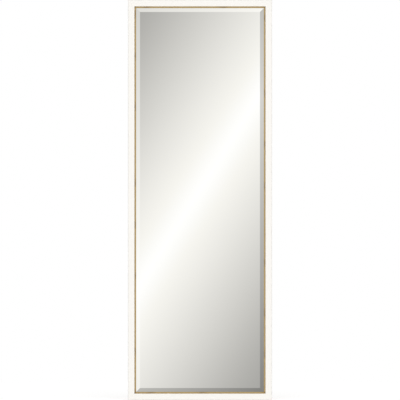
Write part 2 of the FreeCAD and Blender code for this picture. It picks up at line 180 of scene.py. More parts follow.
class NodeSheet:
    """Node tree of one material or world, filled by expressions."""

    def __init__(self, tree: NodeTree) -> None:
        """Empties the tree and keeps it."""
        tree.nodes.clear()
        self.tree = tree

    def node(
        self,
        kind: str,
        settings: Optional[dict] = None,
        inputs: Optional[dict] = None,
        output: Union[int, str] = 0,
    ) -> Optional[Socket]:
        """Adds a node.

        Args:
            kind: The node's type.
            settings: Its properties, or the stops of its ramp, which are set first.
            inputs: Values or sockets by the input's name or number.
            output: The output that is handed back.

        Returns:
            That output, or nothing from a node that has none.
        """
        made = self.tree.nodes.new(kind)
        for name, setting in (settings or {}).items():
            if name == "stops":
                self._set_stops(made.color_ramp, setting)
            else:
                setattr(made, name, setting)
        for name, given in (inputs or {}).items():
            self._feed(made.inputs[name], given)
        return Socket(self, made.outputs[output]) if made.outputs else None

    def _set_stops(self, ramp: ColorRamp, stops: Sequence[tuple[float, Colour]]) -> None:
        """Gives a ramp its stops.

        Args:
            ramp: The ramp.
            stops: Place and colour of each, from the first to the last.
        """
        while len(ramp.elements) < len(stops):
            ramp.elements.new(1.0)
        for element, (place, colour) in zip(ramp.elements, stops):
            element.position = place
            element.color = (*colour, 1.0)

    def _feed(self, target: NodeSocket, given: Given) -> None:
        """Links a socket to an input, or sets the input's own value.

        Args:
            target: The input.
            given: The socket or the value.
        """
        if isinstance(given, Socket):
            self.tree.links.new(given.output, target)
        elif target.type == "RGBA":
            target.default_value = (*given, 1.0)
        else:
            target.default_value = given

    def maths(self, operation: str, *operands: Given) -> Socket:
        """Adds a Math node for one operation."""
        return self.node("ShaderNodeMath", {"operation": operation}, dict(enumerate(operands)))

    @cached_property
    def place(self) -> Socket:
        """Object coordinates, which are the mirror's own."""
        return self.node("ShaderNodeTexCoord", output="Object")

    def split(self, vector: Socket) -> tuple[Socket, Socket, Socket]:
        """X, Y and Z of a vector."""
        parts = self.node("ShaderNodeSeparateXYZ", inputs={0: vector})
        return parts, parts.sibling(1), parts.sibling(2)

    def noise(self, grain: Grain, along: Optional[Axis] = None) -> Socket:
        """Noise between 0 and 1.

        Args:
            grain: Its cells and layers.
            along: The axis that its cells are drawn out along, if any.

        Returns:
            The noise.
        """
        place = self.place
        if along is not None:
            scale = [1.0, 1.0, 1.0]
            scale[along.value] = grain.drawn
            place = self.node("ShaderNodeMapping", inputs={"Vector": place, "Scale": scale})
        inputs = {
            "Vector": place,
            "Scale": grain.cells,
            "Detail": grain.layers,
            "Roughness": grain.weight,
            "Distortion": grain.curl,
        }
        return self.node("ShaderNodeTexNoise", inputs=inputs)

    def rise(self, value: Socket, low: float, high: float) -> Socket:
        """Smooth step from 0 at low to 1 at high, or down if low is the greater."""
        inputs = {"Value": value, "From Min": low, "From Max": high}
        return self.node("ShaderNodeMapRange", {"interpolation_type": "SMOOTHSTEP"}, inputs)

    def total(self, values: Sequence[Socket]) -> Socket:
        """Sum of values."""
        return sum(values[1:], values[0])

    def weigh(self, shares: Sequence[float], *values: Socket) -> Socket:
        """Sum of values, each times its share."""
        return self.total([value * share for value, share in zip(values, shares)])

    def mix(self, factor: Given, first: Given, second: Given) -> Socket:
        """Colour between two colours."""
        return self.node("ShaderNodeMix", {"data_type": "RGBA"}, {0: factor, 6: first, 7: second}, 2)

    def ramp(self, value: Socket, stops: Sequence[tuple[float, Colour]]) -> Socket:
        """Colour from a ramp."""
        return self.node("ShaderNodeValToRGB", {"stops": stops}, {"Fac": value})

    def bump(self, height: Socket, strength: float, distance: float) -> Socket:
        """Normal that follows a height."""
        inputs = {"Height": height, "Strength": strength, "Distance": distance}
        return self.node("ShaderNodeBump", inputs=inputs)

    def principled(self, **inputs: Given) -> Socket:
        """Principled shader, with underscores for the spaces in its inputs' names."""
        named = {name.replace("_", " "): given for name, given in inputs.items()}
        return self.node("ShaderNodeBsdfPrincipled", inputs=named)

    def background(self, colour: Given, strength: Given) -> Socket:
        """Light of the world."""
        return self.node("ShaderNodeBackground", inputs={"Color": colour, "Strength": strength})

    def either(self, factor: Socket, first: Socket, second: Socket) -> Socket:
        """Shader between two shaders."""
        return self.node("ShaderNodeMixShader", inputs={0: factor, 1: first, 2: second})


class Finish:
    """Procedural material of one finish."""

    name: str

    def shade(self, sheet: NodeSheet) -> Socket:
        """Draws the finish.

        Args:
            sheet: The material's nodes.

        Returns:
            The shader.
        """
        raise NotImplementedError

    def make(self) -> Material:
        """Makes the material.

        Returns:
            The material.
        """
        material = bpy.data.materials.new(self.name)
        material.use_nodes = True
        sheet = NodeSheet(material.node_tree)
        sheet.node("ShaderNodeOutputMaterial", inputs={"Surface": self.shade(sheet)})
        return material


@dataclass(frozen=True)
class PaintedWood(Finish):
    """Warm white satin paint on moulding, over bare wood on the back and in the rabbet.

    The paint stops in a soft edge of overspray a few millimetres onto the back.
    """

    name: str
    along: Axis
    half: float
    wood_width: float
    back: float
    lip: float
    white: Colour = (0.890, 0.868, 0.830)
    shaded_white: Colour = (0.868, 0.845, 0.802)
    pale_wood: Colour = (0.560, 0.395, 0.235)
    middle_wood: Colour = (0.480, 0.318, 0.175)
    dark_wood: Colour = (0.335, 0.200, 0.100)
    brush: Grain = Grain(620.0, 3.0, 0.55, drawn=0.02)
    cloud: Grain = Grain(7.0)
    figure: Grain = Grain(190.0, 4.0, 0.62, drawn=0.045)
    pores: Grain = Grain(1500.0, drawn=0.03)
    spray: Grain = Grain(260.0, 3.0)
    paint_shares: Span = (0.45, 0.55)
    wood_shares: Span = (0.8, 0.2)
    wood_stops: tuple[float, ...] = (0.36, 0.52, 0.66)
    spray_reach: float = 5.0 * MM
    spray_edge: Span = (3.0 * MM, 5.5 * MM)
    arris: float = 0.3 * MM
    wall_edge: float = 0.2 * MM
    roughness: float = 0.34
    roughening: Span = (0.08, 0.3)
    relief: Span = (0.35, 0.3 * MM)

    def shade(self, sheet: NodeSheet) -> Socket:
        """Draws the finish.

        Args:
            sheet: The material's nodes.

        Returns:
            The shader.
        """
        x, y, z = sheet.split(sheet.place)
        rim = self.half - abs(x if self.along is Axis.UPRIGHT else z)
        streak = sheet.noise(self.brush, self.along)
        cloud = sheet.noise(self.cloud)
        paint = sheet.mix(sheet.weigh(self.paint_shares, streak, cloud), self.white, self.shaded_white)
        grain = sheet.noise(self.figure, self.along)
        pore = sheet.noise(self.pores, self.along)
        tones = (self.pale_wood, self.middle_wood, self.dark_wood)
        wood = sheet.ramp(sheet.weigh(self.wood_shares, grain, pore), list(zip(self.wood_stops, tones)))
        mist = sheet.noise(self.spray) * self.spray_reach
        on_back = sheet.rise(y, self.back - 2 * self.arris, self.back - self.arris)
        past_mist = sheet.rise(rim + mist, *self.spray_edge)
        inside = sheet.rise(rim, self.wood_width - self.wall_edge, self.wood_width)
        behind_lip = sheet.rise(y, self.lip - self.arris, self.lip)
        bare = sheet.maths("MAXIMUM", on_back * past_mist, inside * behind_lip)
        return sheet.principled(
            Base_Color=sheet.mix(bare, paint, wood),
            Roughness=self.roughness + sheet.weigh(self.roughening, streak, bare),
            Normal=sheet.bump(streak * (1 - bare) + grain * bare, *self.relief),
        )


@dataclass(frozen=True)
class GiltWood(Finish):
    """Antique gilt with dull rubbed patches that recur along the strip, worn dark where the mitres meet."""

    name: str
    along: Axis
    heading: float
    start: float
    half_width: float
    half_height: float
    gilt: Colour = (0.634, 0.466, 0.219)
    shaded_gilt: Colour = (0.555, 0.397, 0.176)
    rubbed: Colour = (0.410, 0.285, 0.135)
    bole: Colour = (0.120, 0.085, 0.062)
    leaf: Grain = Grain(900.0, 3.0, 0.6)
    wander: Grain = Grain(45.0)
    wander_reach: float = 8.0 * MM
    repeat: float = 0.535
    patches: tuple[float, ...] = (0.060, 0.222, 0.463)
    patch_half: float = 11.0 * MM
    patch_soft: float = 9.0 * MM
    patch_least: float = 0.55
    patch_specks: float = 0.6
    mitre_wear: Span = (1.3 * MM, 0.39 * MM)
    mitre_fray: float = 1.2 * MM
    metal: float = 0.82
    metal_loss: Span = (0.25, 0.5)
    roughness: float = 0.36
    roughening: tuple[float, ...] = (0.10, 0.14, 0.12)
    relief: Span = (0.12, 0.2 * MM)

    def shade(self, sheet: NodeSheet) -> Socket:
        """Draws the finish.

        Args:
            sheet: The material's nodes.

        Returns:
            The shader.
        """
        spot = sheet.split(sheet.place)
        run = spot[self.along.value] * self.heading + self.start
        wander = (sheet.noise(self.wander) - 0.5) * self.wander_reach
        within = sheet.maths("FRACT", run / self.repeat) * self.repeat + wander
        outer, inner = self.patch_half + self.patch_soft, self.patch_half - self.patch_soft
        rubbed = sheet.total([sheet.rise(abs(within - patch), outer, inner) for patch in self.patches])
        speck = sheet.noise(self.leaf)
        leaf = sheet.mix(speck, self.gilt, self.shaded_gilt)
        dulling = rubbed * (self.patch_least + speck * self.patch_specks)
        dulled = sheet.mix(dulling, leaf, self.rubbed)
        from_mitre = abs((self.half_width - abs(spot[0])) - (self.half_height - abs(spot[2])))
        frayed = from_mitre + (speck - 0.5) * self.mitre_fray
        worn = sheet.rise(frayed, *self.mitre_wear)
        return sheet.principled(
            Base_Color=sheet.mix(worn, dulled, self.bole),
            Metallic=self.metal - sheet.weigh(self.metal_loss, rubbed, worn),
            Roughness=self.roughness + sheet.weigh(self.roughening, speck, rubbed, worn),
            Normal=sheet.bump(speck, *self.relief),
        )


@dataclass(frozen=True)
class SilveredGlass(Finish):
    """Silvered plate: a clean mirror with a breath of unevenness in its polish."""

    name: str = "silvered_plate"
    silver: Colour = (0.955, 0.960, 0.955)
    edge_silver: Colour = (0.940, 0.950, 0.945)
    cloud: Grain = Grain(5.0)
    roughness: float = 0.002
    haze: float = 0.006

    def shade(self, sheet: NodeSheet) -> Socket:
        """Draws the finish.

        Args:
            sheet: The material's nodes.

        Returns:
            The shader.
        """
        cloud = sheet.noise(self.cloud)
        return sheet.principled(
            Base_Color=sheet.mix(cloud, self.silver, self.edge_silver),
            Metallic=1.0,
            Roughness=self.roughness + cloud * self.haze,
        )


@dataclass(frozen=True)
class Hardboard(Finish):
    """Brown pressed fibre board, smooth face out, with fibres that curl either way and a faint mottle."""

    name: str = "hardboard"
    brown: Colour = (0.215, 0.124, 0.065)
    dark_brown: Colour = (0.128, 0.070, 0.035)
    fibre: Colour = (0.300, 0.190, 0.108)
    char: Colour = (0.070, 0.038, 0.020)
    mottle: Grain = Grain(38.0, 4.0, 0.6)
    felt: Grain = Grain(900.0, 3.0, 0.6, drawn=0.45, curl=1.6)
    pale_fibres: Span = (0.60, 0.78)
    dark_fibres: Span = (0.40, 0.26)
    pale_share: float = 0.6
    dark_share: float = 0.5
    roughness: float = 0.44
    roughening: Span = (0.10, 0.10)
    relief_shares: Span = (0.5, 0.5)
    relief: Span = (0.18, 0.2 * MM)

    def shade(self, sheet: NodeSheet) -> Socket:
        """Draws the finish.

        Args:
            sheet: The material's nodes.

        Returns:
            The shader.
        """
        upright = sheet.noise(self.felt, Axis.UPRIGHT)
        sideways = sheet.noise(self.felt, Axis.SIDEWAYS)
        body = sheet.mix(sheet.noise(self.mottle), self.brown, self.dark_brown)
        pale = sheet.rise(sheet.maths("MAXIMUM", upright, sideways), *self.pale_fibres)
        dark = sheet.rise(sheet.maths("MINIMUM", upright, sideways), *self.dark_fibres)
        fibres = sheet.mix(pale * self.pale_share, body, self.fibre)
        return sheet.principled(
            Base_Color=sheet.mix(dark * self.dark_share, fibres, self.char),
            Roughness=self.roughness + sheet.weigh(self.roughening, upright, sideways),
            Normal=sheet.bump(sheet.weigh(self.relief_shares, upright, sideways), *self.relief),
        )


@dataclass(frozen=True)
class CorrugatedCard(Finish):
    """Brown card with the faint lines of its flutes."""

    name: str = "corrugated_card"
    brown: Colour = (0.430, 0.290, 0.165)
    pale_brown: Colour = (0.510, 0.360, 0.220)
    pulp: Grain = Grain(500.0, 3.0)
    flute_pitch: float = 6.5 * MM
    colour_shares: Span = (0.4, 0.6)
    roughness: float = 0.80
    roughening: float = 0.1
    relief_shares: Span = (0.6, 0.4)
    relief: Span = (0.2, 0.2 * MM)

    def shade(self, sheet: NodeSheet) -> Socket:
        """Draws the finish.

        Args:
            sheet: The material's nodes.

        Returns:
            The shader.
        """
        x = sheet.split(sheet.place)[0]
        flute = sheet.maths("SINE", x * (2 * math.pi / self.flute_pitch)) * 0.5 + 0.5
        pulp = sheet.noise(self.pulp)
        return sheet.principled(
            Base_Color=sheet.mix(sheet.weigh(self.colour_shares, flute, pulp), self.brown, self.pale_brown),
            Roughness=self.roughness + pulp * self.roughening,
            Normal=sheet.bump(sheet.weigh(self.relief_shares, flute, pulp), *self.relief),
        )


@dataclass(frozen=True)
class PlatedSteel(Finish):
    """Plated or blued steel with uneven brightness and fine drawing marks."""

    steel: Steel
    bloom: Grain = Grain(320.0, 3.0, 0.6)
    marks: Grain = Grain(5200.0, drawn=0.08)
    dull_shares: Span = (0.6, 0.4)
    dulling: Span = (0.30, 0.70)
    roughening: Span = (0.16, 0.10)
    relief: Span = (0.12, 0.05 * MM)

    @property
    def name(self) -> str:
        """The material's name."""
        return self.steel.slot

    def shade(self, sheet: NodeSheet) -> Socket:
        """Draws the finish.

        Args:
            sheet: The material's nodes.

        Returns:
            The shader.
        """
        bright, dull, roughness = self.steel.value
        bloom = sheet.noise(self.bloom)
        marks = sheet.noise(self.marks, Axis.UPRIGHT)
        dulled = sheet.rise(sheet.weigh(self.dull_shares, bloom, marks), *self.dulling)
        return sheet.principled(
            Base_Color=sheet.mix(dulled, bright, dull),
            Metallic=1.0,
            Roughness=roughness + sheet.weigh(self.roughening, bloom, marks),
            Normal=sheet.bump(marks, *self.relief),
        )


@dataclass(frozen=True)
class BumperRubber(Finish):
    """Dark soft rubber with a matt moulded skin."""

    name: str = "bumper_rubber"
    black: Colour = (0.030, 0.030, 0.031)
    grey: Colour = (0.052, 0.052, 0.053)
    skin: Grain = Grain(2600.0)
    dust: Grain = Grain(240.0, 3.0)
    roughness: float = 0.62
    roughening: float = 0.18
    relief: Span = (0.12, 0.1 * MM)

    def shade(self, sheet: NodeSheet) -> Socket:
        """Draws the finish.

        Args:
            sheet: The material's nodes.

        Returns:
            The shader.
        """
        skin = sheet.noise(self.skin)
        return sheet.principled(
            Base_Color=sheet.mix(sheet.noise(self.dust), self.black, self.grey),
            Roughness=self.roughness + skin * self.roughening,
            Normal=sheet.bump(skin, *self.relief),
        )


@dataclass(frozen=True)
class StudioFloor(Finish):
    """Pale floor that reads as white to the camera and keeps the mirror's shadow."""

    name: str = "studio_floor"
    pale: Colour = (0.93, 0.93, 0.93)
    shadow_tone: Colour = (0.52, 0.52, 0.52)
    glow: float = 0.53

    def shade(self, sheet: NodeSheet) -> Socket:
        """Draws the finish.

        Args:
            sheet: The floor's nodes.

        Returns:
            The shader.
        """
        to_camera = sheet.node("ShaderNodeLightPath", output="Is Camera Ray")
        plain = sheet.node("ShaderNodeBsdfDiffuse", inputs={"Color": self.pale})
        shadowed = sheet.node("ShaderNodeBsdfDiffuse", inputs={"Color": self.shadow_tone})
        white = sheet.node("ShaderNodeEmission", inputs={"Color": PURE_WHITE, "Strength": self.glow})
        seen = sheet.node("ShaderNodeAddShader", inputs={0: shadowed, 1: white})
        return sheet.either(to_camera, plain, seen)


@dataclass(frozen=True)
class Layout:
    """Main places of the mirror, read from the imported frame."""

    half_width: float
    half_height: float
    back: float
    moulding_width: float
    moulding_depth: float
    fillet_start: float
    sight_edge: float
    fillet_level: float
    bead_level: float
    lip_level: float = 15.0 * MM

    @classmethod
    def from_frame(cls) -> "Layout":
        """Reads the places from the left stile and the left fillet.

        Returns:
            The places.
        """
        stile_low, stile_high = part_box("frame_stile_left")
        fillet_low, fillet_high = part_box("gilt_fillet_left")
        return cls(
            half_width=-stile_low.x,
            half_height=stile_high.z,
            back=stile_high.y,
            moulding_width=stile_high.x - stile_low.x,
            moulding_depth=stile_high.y - stile_low.y,
            fillet_start=fillet_low.x - stile_low.x,
            sight_edge=fillet_high.x - stile_low.x,
            fillet_level=stile_high.y - fillet_high.y,
            bead_level=stile_high.y - fillet_low.y,
        )

    def reach(self, side: Side) -> float:
        """From the mirror's middle to the outer edge of a side."""
        return self.half_width if side.axis is Axis.UPRIGHT else self.half_height

    def half_length(self, side: Side) -> float:
        """Half the outer length of a side."""
        return self.half_height if side.axis is Axis.UPRIGHT else self.half_width

    def strip_matrix(self, side: Side) -> Matrix:
        """Turn and place of a strip.

        Args:
            side: The side that the strip lies on.

        Returns:
            Matrix from the strip's frame, with X along it, Y inwards from the frame's outer edge and Z from
            the back to the front, to the mirror's.
        """
        turn = Matrix.Rotation(side.value * QUARTER, 4, "Y")
        shift = Matrix.Translation((0.0, self.back, -self.reach(side)))
        return turn @ shift @ Matrix.Rotation(QUARTER, 4, "X")


@dataclass(frozen=True)
class Corner:
    """Corner of a strip's section, inwards from the outer edge and up from the back, with its rounding."""

    inward: float
    level: float
    rounding: float = 0.0
    steps: int = 1


def only(kind: type, geometry: Sequence) -> list:
    """Vertices, edges or faces among a bmesh operator's results."""
    return [item for item in geometry if isinstance(item, kind)]


def whole(mesh: BMesh) -> list:
    """All vertices, edges and faces of a mesh."""
    return mesh.verts[:] + mesh.edges[:] + mesh.faces[:]


def soften(mesh: BMesh, edges: Sequence[BMEdge], offset: float, segments: int) -> None:
    """Rounds edges over.

    Args:
        mesh: The mesh.
        edges: The edges.
        offset: How far the rounding reaches from each edge.
        segments: Its number of facets.
    """
    bmesh.ops.bevel(
        mesh,
        geom=list(edges),
        offset=offset,
        offset_type="OFFSET",
        segments=segments,
        profile=0.5,
        affect="EDGES",
        material=-1,
        clamp_overlap=True,
    )


def sharp_edges(mesh: BMesh, least_degrees: float) -> list[BMEdge]:
    """Edges between two faces that meet at more than an angle."""
    least = math.radians(least_degrees)
    return [edge for edge in mesh.edges if len(edge.link_faces) == 2 and edge.calc_face_angle(0.0) > least]


def extruded(outline: Sequence[Vector], along: Vector) -> BMesh:
    """Prism.

    Args:
        outline: Corners of its flat end, in order.
        along: From that end to the other.

    Returns:
        The closed mesh.
    """
    mesh = bmesh.new()
    near = mesh.faces.new([mesh.verts.new(corner) for corner in outline])
    grown = bmesh.ops.extrude_face_region(mesh, geom=[near], use_keep_orig=True)
    bmesh.ops.translate(mesh, verts=only(BMVert, grown["geom"]), vec=along)
    bmesh.ops.recalc_face_normals(mesh, faces=mesh.faces[:])
    return mesh


def block(low: Vector, high: Vector) -> BMesh:
    """Box.

    Args:
        low: Its lowest corner.
        high: Its highest corner.

    Returns:
        The closed mesh.
    """
    mesh = bmesh.new()
    bmesh.ops.create_cube(mesh, size=1.0)
    bmesh.ops.scale(mesh, verts=mesh.verts[:], vec=high - low)
    bmesh.ops.translate(mesh, verts=mesh.verts[:], vec=(low + high) / 2)
    return mesh


def mitred_strip(section: Sequence[Corner], layout: Layout, side: Side, arris: float) -> BMesh:
    """Length of moulding with mitred ends, in place on its side.

    Args:
        section: Corners of its section, in order.
        layout: Main places of the mirror.
        side: The side that it lies on.
        arris: Size of the small chamfer round each mitre.

    Returns:
        The closed mesh, in the mirror's frame.
    """
    spare = 5 * MM
    half_length = layout.half_length(side)
    end = half_length + spare
    mesh = extruded([Vector((-end, c.inward, c.level)) for c in section], Vector((2 * end, 0, 0)))
    for corner in section:
        if corner.rounding:
            place = Vector((corner.inward, corner.level))
            runs = [
                edge
                for edge in mesh.edges
                if edge.calc_length() > half_length
                and all((vert.co.yz - place).length < SAME_PLACE for vert in edge.verts)
            ]
            soften(mesh, runs, corner.rounding, corner.steps)
    for sign in (-1.0, 1.0):
        cut = bmesh.ops.bisect_plane(
            mesh,
            geom=whole(mesh),
            plane_co=(sign * half_length, 0.0, 0.0),
            plane_no=(sign, 1.0, 0.0),
            clear_outer=True,
        )
        rim = only(BMEdge, cut["geom_cut"])
        bmesh.ops.contextual_create(mesh, geom=rim)
        soften(mesh, rim, arris, 1)
    bmesh.ops.recalc_face_normals(mesh, faces=mesh.faces[:])
    bmesh.ops.transform(mesh, matrix=layout.strip_matrix(side), verts=mesh.verts[:])
    return mesh


def add_to(group: BMesh, part: BMesh) -> None:
    """Adds a mesh to a group and frees it.

    Args:
        group: The mesh that grows.
        part: The mesh that is added.
    """
    data = bpy.data.meshes.new("part")
    part.to_mesh(data)
    part.free()
    group.from_mesh(data)
    bpy.data.meshes.remove(data)


def put_in_scene(name: str, data: bpy.types.ID) -> Object:
    """Makes an object of a mesh, a lamp or a camera and puts it in the scene.

    Args:
        name: The object's name.
        data: What it shows.

    Returns:
        The object.
    """
    made = bpy.data.objects.new(name, data)
    bpy.context.scene.collection.objects.link(made)
    return made


def mesh_object(mesh: BMesh, name: str, material: Material) -> Object:
    """Makes an object of a bmesh and dresses it.

    Args:
        mesh: The bmesh, which is freed.
        name: The object's name.
        material: Its finish.

    Returns:
        The object.
    """
    data = bpy.data.meshes.new(name)
    mesh.to_mesh(data)
    mesh.free()
    data.materials.append(material)
    return put_in_scene(name, data)


def set_piece(
    mesh: BMesh,
    name: str,
    material: Material,
    slot: str,
    node: str,
    body: str = BODY,
    smooth_below: float = 32.0,
) -> None:
    """Makes a piece of a mesh, dresses it and puts it in place of a node.

    Args:
        mesh: The mesh, in the mirror's frame, which is freed.
        name: The piece's name.
        material: Its finish.
        slot: The record's slot of that finish; not used.
        node: The node that it stands for.
        body: The body that it moves with.
        smooth_below: Edges below this many degrees are shaded smooth.
    """
    for face in mesh.faces:
        face.smooth = smooth_below > 0
    piece = mesh_object(mesh, name, material)
    if smooth_below > 0:
        piece.data.set_sharp_from_angle(angle=math.radians(smooth_below))
        even = piece.modifiers.new("even_normals", "WEIGHTED_NORMAL")
        even.keep_sharp = True
    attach(piece, body)
    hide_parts(node)
    LOG.info("%s: %d faces, rides on %s", name, len(piece.data.polygons), body)


@dataclass
class WhiteMoulding:
    """Four mitred lengths of white moulding, with a rounded outer edge and a rabbet behind the lip."""

    layout: Layout
    wood_width: float = 17.45 * MM
    outer_round: Rounding = (3.5 * MM, 9)
    inner_round: Rounding = (0.8 * MM, 5)
    back_round: Rounding = (0.5 * MM, 3)
    rabbet_round: Rounding = (0.5 * MM, 2)
    mitre_arris: float = 0.22 * MM

    def section(self) -> list[Corner]:
        """Section of the moulding.

        Returns:
            Its corners, in order.
        """
        width = self.layout.moulding_width
        depth = self.layout.moulding_depth
        lip = self.layout.lip_level
        return [
            Corner(0.0, 0.0, *self.back_round),
            Corner(self.wood_width, 0.0, *self.rabbet_round),
            Corner(self.wood_width, lip),
            Corner(width, lip),
            Corner(width, depth, *self.inner_round),
            Corner(0.0, depth, *self.outer_round),
        ]

    def finish(self, axis: Axis) -> Material:
        """Paint on the two lengths that run along an axis.

        Args:
            axis: The axis.

        Returns:
            The material.
        """
        upright = axis is Axis.UPRIGHT
        return PaintedWood(
            name="painted_stile" if upright else "painted_rail",
            along=axis,
            half=self.layout.half_width if upright else self.layout.half_height,
            wood_width=self.wood_width,
            back=self.layout.back,
            lip=self.layout.back - self.layout.lip_level,
        ).make()

    def build(self) -> None:
        """Builds and dresses the four lengths."""
        paints = {axis: self.finish(axis) for axis in Axis}
        for side in Side:
            mesh = mitred_strip(self.section(), self.layout, side, self.mitre_arris)
            kind = "stile" if side.axis is Axis.UPRIGHT else "rail"
            name = f"{kind}_{side.label}"
            set_piece(mesh, f"white_{name}", paints[side.axis], "painted_wood", f"frame_{name}")


@dataclass
class GiltFillet:
    """Four mitred gilt slips with a rounded bead, tucked under the moulding's lip.

    The headings and starts place the rubbed patches along each side.
    """

    layout: Layout
    bead_round: Rounding = (4.0 * MM, 10)
    nose_round: Rounding = (0.3 * MM, 2)
    shoulder_round: Rounding = (0.2 * MM, 2)
    mitre_arris: float = 0.15 * MM
    headings: tuple[float, ...] = (1.0, -1.0, -1.0, 1.0)
    starts: tuple[float, ...] = (0.2156, 0.5172, 0.2950, 0.4188)

    def section(self) -> list[Corner]:
        """Section of the fillet.

        Returns:
            Its corners, in order.
        """
        place = self.layout
        return [
            Corner(place.fillet_start, place.fillet_level),
            Corner(place.sight_edge, place.fillet_level, *self.nose_round),
            Corner(place.sight_edge, place.bead_level, *self.bead_round),
            Corner(place.moulding_width, place.bead_level, *self.shoulder_round),
            Corner(place.moulding_width, place.lip_level),
            Corner(place.fillet_start, place.lip_level),
        ]

    def build(self) -> None:
        """Builds and dresses the four slips."""
        for side in Side:
            mesh = mitred_strip(self.section(), self.layout, side, self.mitre_arris)
            gilt = GiltWood(
                name=f"antique_gilt_{side.label}",
                along=side.axis,
                heading=self.headings[side.value],
                start=self.starts[side.value],
                half_width=self.layout.half_width,
                half_height=self.layout.half_height,
            ).make()
            set_piece(mesh, f"gilt_slip_{side.label}", gilt, "gilt_wood", f"gilt_fillet_{side.label}")


@dataclass
class MirrorPlate:
    """Silvered plate with a wide flat bevel ground on all four sides."""

    bevel_width: float = 19.05 * MM
    edge_thickness: float = 1.8 * MM
    edge_ease: Rounding = (0.25 * MM, 2)
    edge_angle: float = 30.0

    def build(self) -> None:
        """Builds and dresses the plate."""
        low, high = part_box("mirror_glass")
        edge_front = high.y - self.edge_thickness
        mesh = block(Vector((low.x, edge_front, low.z)), high)
        front = min(mesh.faces, key=lambda face: face.calc_center_median().y)
        bmesh.ops.inset_region(mesh, faces=[front], thickness=self.bevel_width, use_even_offset=True)
        bmesh.ops.translate(mesh, verts=front.verts[:], vec=(0.0, low.y - edge_front, 0.0))
        rims = [edge for edge in sharp_edges(mesh, self.edge_angle) if edge.calc_length() > self.bevel_width]
        soften(mesh, rims, *self.edge_ease)
        silver = SilveredGlass().make()
        set_piece(mesh, "bevelled_plate", silver, "silvered_glass", "mirror_glass", smooth_below=0.0)


@dataclass
class Backing:
    """Boards behind the plate and the flat points that hold them in the rabbet."""

    layout: Layout
    board_ease: Rounding = (0.5 * MM, 3)
    point_width: float = 9.0 * MM
    point_tip: float = 4.0 * MM
    point_corner: Rounding = (1.2 * MM, 4)
    point_ease: Rounding = (0.12 * MM, 2)
    point_angle: float = 50.0
    counts: tuple[int, ...] = (3, 7, 3, 7)

    def build(self, steel: Material) -> None:
        """Builds and dresses the board and the points, and dresses the filler.

        Args:
            steel: Finish of the points.
        """
        frame["nodes"]["filler_pad"].material_slots[0].material = CorrugatedCard().make()
        LOG.info("filler_pad: kept from the frame, dressed as corrugated card")
        mesh = block(*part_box("backing_board"))
        soften(mesh, mesh.edges[:], *self.board_ease)
        set_piece(mesh, "hardboard_back", Hardboard().make(), "hardboard", "backing_board")
        for side in Side:
            mesh = self.row_of_points(side)
            set_piece(mesh, f"flat_points_{side.label}", steel, Steel.POINT.slot, f"points_{side.label}")

    def row_of_points(self, side: Side) -> BMesh:
        """Points of one side.

        Args:
            side: The side whose rabbet holds them.

        Returns:
            All of them as one mesh, in the mirror's frame.
        """
        strip = self.layout.strip_matrix(side)
        ends = [strip.inverted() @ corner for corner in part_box(f"points_{side.label}")]
        low = Vector(tuple(map(min, *ends)))
        high = Vector(tuple(map(max, *ends)))
        first = low.x + self.point_width / 2
        last = high.x - self.point_width / 2
        count = self.counts[side.value]
        row = bmesh.new()
        for index in range(count):
            add_to(row, self.one_point(first + (last - first) * index / (count - 1), low, high))
        bmesh.ops.transform(row, matrix=strip, verts=row.verts[:])
        return row

    def one_point(self, middle: float, low: Vector, high: Vector) -> BMesh:
        """Flat point with its tip in the wood.

        Args:
            middle: Its place along the strip.
            low: Lowest corner of the row, in the strip's frame.
            high: Highest corner of the row.

        Returns:
            The closed mesh, in the strip's frame.
        """
        half = self.point_width / 2
        shoulder = low.y + self.point_tip
        spots = [(0.0, low.y), (half, shoulder), (half, high.y), (-half, high.y), (-half, shoulder)]
        outline = [Vector((middle + along, inward, low.z)) for along, inward in spots]
        mesh = extruded(outline, Vector((0.0, 0.0, high.z - low.z)))
        corners = [
            edge
            for edge in mesh.edges
            if all(abs(vert.co.y - high.y) < SAME_PLACE for vert in edge.verts) and edge.calc_length() < half
        ]
        soften(mesh, corners, *self.point_corner)
        soften(mesh, sharp_edges(mesh, self.point_angle), *self.point_ease)
        return mesh


@dataclass
class CornerNails:
    """V-nails driven across the mitres, whose edges just show on the back."""

    layout: Layout
    gauge: float = 0.6 * MM
    leg: float = 7.0 * MM
    depth: float = 10.0 * MM
    insets: tuple[float, ...] = (4.5 * MM, 10.5 * MM)
    proud: float = 0.06 * MM

    def build(self, steel: Material) -> None:
        """Builds and dresses the eight nails.

        Args:
            steel: Finish of the nails.
        """
        top = self.layout.back + self.proud
        inner = -self.gauge
        tip = -self.leg
        steps = [(0.0, 0.0), (tip, 0.0), (tip, inner), (inner, inner), (inner, tip), (0.0, tip)]
        nails = bmesh.new()
        for inset in self.insets:
            heel = Vector((self.layout.half_width - inset, top, self.layout.half_height - inset))
            outline = [heel + Vector((across, 0.0, up)) for across, up in steps]
            add_to(nails, extruded(outline, Vector((0.0, -self.depth, 0.0))))
        for axis in ("X", "Z"):
            bmesh.ops.mirror(nails, geom=whole(nails), merge_dist=0.0, axis=axis)
        bmesh.ops.recalc_face_normals(nails, faces=nails.faces[:])
        set_piece(nails, "mitre_v_nails", steel, Steel.NAIL.slot, "corner_v_nails")


